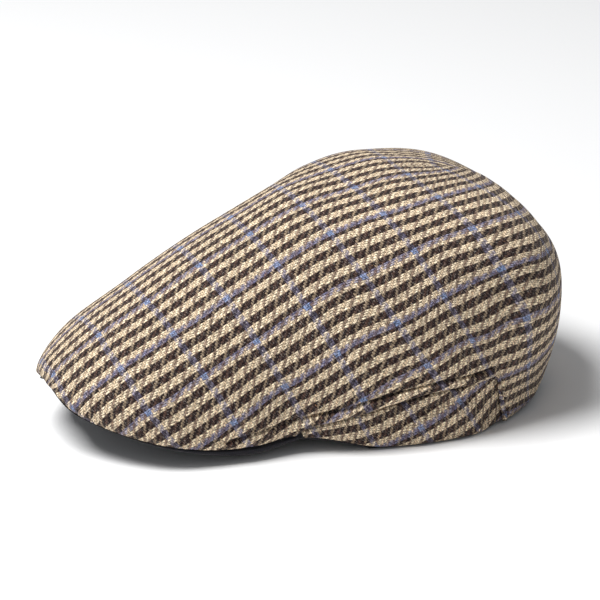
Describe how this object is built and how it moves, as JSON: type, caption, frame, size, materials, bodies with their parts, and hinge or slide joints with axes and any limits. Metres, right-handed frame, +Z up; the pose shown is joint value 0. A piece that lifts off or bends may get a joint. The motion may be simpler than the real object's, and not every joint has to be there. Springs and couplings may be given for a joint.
{
  "type": "flat cap",
  "caption": "Checked wool flat cap with a one-piece top, wedge side panels, a stiff peak and an inner sweatband.",
  "frame": {"origin": "middle of the cap's footprint, on the surface that it rests on", "axes": "+Z up, the peak points towards -Y, X runs from ear to ear, and the wearer's left ear is at +X"},
  "size_m": [0.1668, 0.2764, 0.118],
  "materials": {
    "checked_wool": "matt woollen twill, brown and cream check with a blue line",
    "dark_twill": "matt dark cotton twill"
  },
  "bodies": {
    "root": {"crown_top": "checked_wool", "side_panel_right": "checked_wool", "side_panel_left": "checked_wool", "peak": "dark_twill", "sweatband": "dark_twill"}
  },
  "joints": []
}
